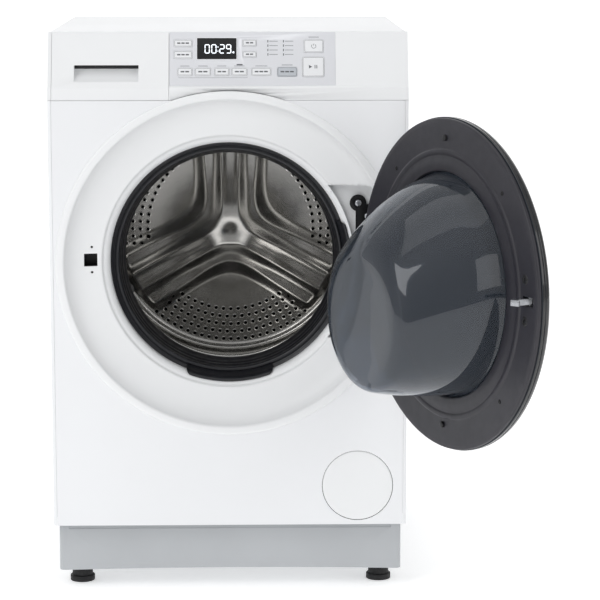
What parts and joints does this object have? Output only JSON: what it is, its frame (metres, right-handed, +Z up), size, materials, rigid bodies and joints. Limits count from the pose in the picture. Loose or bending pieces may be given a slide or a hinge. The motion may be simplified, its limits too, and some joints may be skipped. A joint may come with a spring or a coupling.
{
  "type": "front load washing machine",
  "caption": "Front-loading washer-dryer on a plinth with a dished porthole, open round door with glass bowl, leaning control panel, detergent drawer and round filter cover.",
  "frame": {"origin": "on the floor at the centre of the four feet, under the centre of the cabinet", "axes": "+X to the machine's right seen from the front, +Y to its back, +Z up; the door opens towards -Y"},
  "size_m": [0.776, 1.1203, 0.937],
  "materials": {
    "white_steel": "smooth white enamel",
    "white_plastic": "satin white",
    "silver_plastic": "fine satin silver-grey",
    "panel_silver": "pearl silver",
    "display_black": "glossy black",
    "key_white": "satin",
    "door_black": "glossy black",
    "frame_grey": "fine matte dark grey",
    "clear_glass": "polished",
    "gasket_rubber": "moulded rubber",
    "foot_rubber": "matte",
    "drum_steel": "polished stainless",
    "black_plastic": "matte",
    "steel_black": "black e-coat",
    "zinc_steel": "zinc plated",
    "tub_plastic": "glass-filled, matte",
    "weight_concrete": "cast, rough",
    "motor_metal": "cast",
    "bearing_steel": "ground",
    "board_green": "coated",
    "grey_plastic": "matte"
  },
  "bodies": {
    "cabinet": {"base_plinth": "silver_plastic", "feet_rear": "foot_rubber", "side_panel_left": "white_steel", "side_panel_right": "white_steel", "rear_panel": "zinc_steel", "top_panel": "white_plastic", "front_panel": "white_steel", "door_surround": "white_plastic", "control_fascia": "white_plastic", "control_panel": "panel_silver", "display_window": "display_black", "control_board": "board_green", "dispenser_housing": "grey_plastic", "door_gasket": "gasket_rubber", "hinge_bracket": "steel_black", "door_lock": "black_plastic", "inlet_valve": "grey_plastic", "drain_pump": "black_plastic", "drain_outlet": "grey_plastic", "power_cord_gland": "black_plastic", "cabinet_screws": "zinc_steel", "tub_hoses": "gasket_rubber", "dampers": "black_plastic", "suspension_springs": "zinc_steel", "drying_unit": "motor_metal"},
    "foot_left": {"foot_front_left": "foot_rubber"},
    "foot_right": {"foot_front_right": "foot_rubber"},
    "tub": {"tub_front": "tub_plastic", "tub_rear": "tub_plastic", "counterweights": "weight_concrete", "motor_stator": "motor_metal", "drum_bearings": "bearing_steel"},
    "drum": {"drum_shell": "drum_steel", "drum_rear_plate": "drum_steel", "drum_lifters": "grey_plastic", "drum_shaft": "motor_metal", "motor_rotor": "zinc_steel"},
    "fan": {"fan_impeller": "black_plastic"},
    "door": {"door_outer_cover": "door_black", "door_inner_frame": "frame_grey", "door_glass": "clear_glass", "door_hinge_arm": "steel_black", "door_screws": "black_plastic"},
    "latch": {"latch_hook": "zinc_steel"},
    "drawer": {"drawer_front": "white_plastic", "drawer_tray": "grey_plastic"},
    "filter_lid": {"filter_cover": "white_plastic"},
    "filter": {"drain_filter": "grey_plastic"},
    "key_power": {"key_power": "key_white"},
    "key_start": {"key_start": "key_white"},
    "key_course": {"key_course": "key_white"},
    "key_wash": {"key_wash": "key_white"},
    "key_rinse": {"key_rinse": "key_white"},
    "key_spin": {"key_spin": "key_white"},
    "key_dry": {"key_dry": "key_white"},
    "key_memory": {"key_memory": "key_white"},
    "key_left_upper": {"key_left_upper": "key_white"},
    "key_left_lower": {"key_left_lower": "key_white"},
    "key_right_upper": {"key_right_upper": "key_white"},
    "key_right_lower": {"key_right_lower": "key_white"}
  },
  "joints": [
    {"name": "foot_left_screw", "type": "slide", "parent": "cabinet", "child": "foot_left", "axis": [0, 0, -1], "range_m": [0, 0.01]},
    {"name": "foot_right_screw", "type": "slide", "parent": "cabinet", "child": "foot_right", "axis": [0, 0, -1], "range_m": [0, 0.01]},
    {"name": "tub_bounce", "type": "slide", "parent": "cabinet", "child": "tub", "axis": [0, 0, 1], "range_m": [-0.012, 0.008], "stiffness_N_per_m": 30000, "springref_m": 0.01005, "deforming": ["door_gasket", "tub_hoses", "dampers", "suspension_springs"]},
    {"name": "drum_spin", "type": "hinge", "parent": "tub", "child": "drum", "pos_m": [0, 0, 0.554], "axis": [0, 1, 0], "continuous": true},
    {"name": "fan_spin", "type": "hinge", "parent": "cabinet", "child": "fan", "pos_m": [0.165, 0.12, 0.86], "axis": [0, 0, 1], "continuous": true},
    {"name": "door_swing", "type": "hinge", "parent": "cabinet", "child": "door", "pos_m": [0.2426, -0.3232, 0.554], "axis": [0, 0, 1], "range_deg": [-117.3, 0]},
    {"name": "latch_pivot", "type": "hinge", "parent": "door", "child": "latch", "pos_m": [0.4534, -0.74623, 0.559], "axis": [0, 0, 1], "range_deg": [-6, 6], "stiffness_Nm_per_rad": 0.6},
    {"name": "drawer_slide", "type": "slide", "parent": "cabinet", "child": "drawer", "axis": [0, -1, 0], "range_m": [0, 0.22]},
    {"name": "filter_lid_pull", "type": "slide", "parent": "cabinet", "child": "filter_lid", "axis": [0, -1, 0], "range_m": [0, 0.06]},
    {"name": "filter_turn", "type": "hinge", "parent": "cabinet", "child": "filter", "pos_m": [0.215, -0.26, 0.177], "axis": [0, -1, 0], "range_deg": [0, 90]},
    {"name": "key_power_press", "type": "slide", "parent": "cabinet", "child": "key_power", "axis": [0, 0.9346, -0.3558], "range_m": [0, 0.001], "stiffness_N_per_m": 900, "springref_m": -0.001},
    {"name": "key_start_press", "type": "slide", "parent": "cabinet", "child": "key_start", "axis": [0, 0.9346, -0.3558], "range_m": [0, 0.001], "stiffness_N_per_m": 900, "springref_m": -0.001},
    {"name": "key_course_press", "type": "slide", "parent": "cabinet", "child": "key_course", "axis": [0, 0.9346, -0.3558], "range_m": [0, 0.001], "stiffness_N_per_m": 900, "springref_m": -0.001},
    {"name": "key_wash_press", "type": "slide", "parent": "cabinet", "child": "key_wash", "axis": [0, 0.9346, -0.3558], "range_m": [0, 0.001], "stiffness_N_per_m": 900, "springref_m": -0.001},
    {"name": "key_rinse_press", "type": "slide", "parent": "cabinet", "child": "key_rinse", "axis": [0, 0.9346, -0.3558], "range_m": [0, 0.001], "stiffness_N_per_m": 900, "springref_m": -0.001},
    {"name": "key_spin_press", "type": "slide", "parent": "cabinet", "child": "key_spin", "axis": [0, 0.9346, -0.3558], "range_m": [0, 0.001], "stiffness_N_per_m": 900, "springref_m": -0.001},
    {"name": "key_dry_press", "type": "slide", "parent": "cabinet", "child": "key_dry", "axis": [0, 0.9346, -0.3558], "range_m": [0, 0.001], "stiffness_N_per_m": 900, "springref_m": -0.001},
    {"name": "key_memory_press", "type": "slide", "parent": "cabinet", "child": "key_memory", "axis": [0, 0.9346, -0.3558], "range_m": [0, 0.001], "stiffness_N_per_m": 900, "springref_m": -0.001},
    {"name": "key_left_upper_press", "type": "slide", "parent": "cabinet", "child": "key_left_upper", "axis": [0, 0.9346, -0.3558], "range_m": [0, 0.001], "stiffness_N_per_m": 900, "springref_m": -0.001},
    {"name": "key_left_lower_press", "type": "slide", "parent": "cabinet", "child": "key_left_lower", "axis": [0, 0.9346, -0.3558], "range_m": [0, 0.001], "stiffness_N_per_m": 900, "springref_m": -0.001},
    {"name": "key_right_upper_press", "type": "slide", "parent": "cabinet", "child": "key_right_upper", "axis": [0, 0.9346, -0.3558], "range_m": [0, 0.001], "stiffness_N_per_m": 900, "springref_m": -0.001},
    {"name": "key_right_lower_press", "type": "slide", "parent": "cabinet", "child": "key_right_lower", "axis": [0, 0.9346, -0.3558], "range_m": [0, 0.001], "stiffness_N_per_m": 900, "springref_m": -0.001}
  ]
}
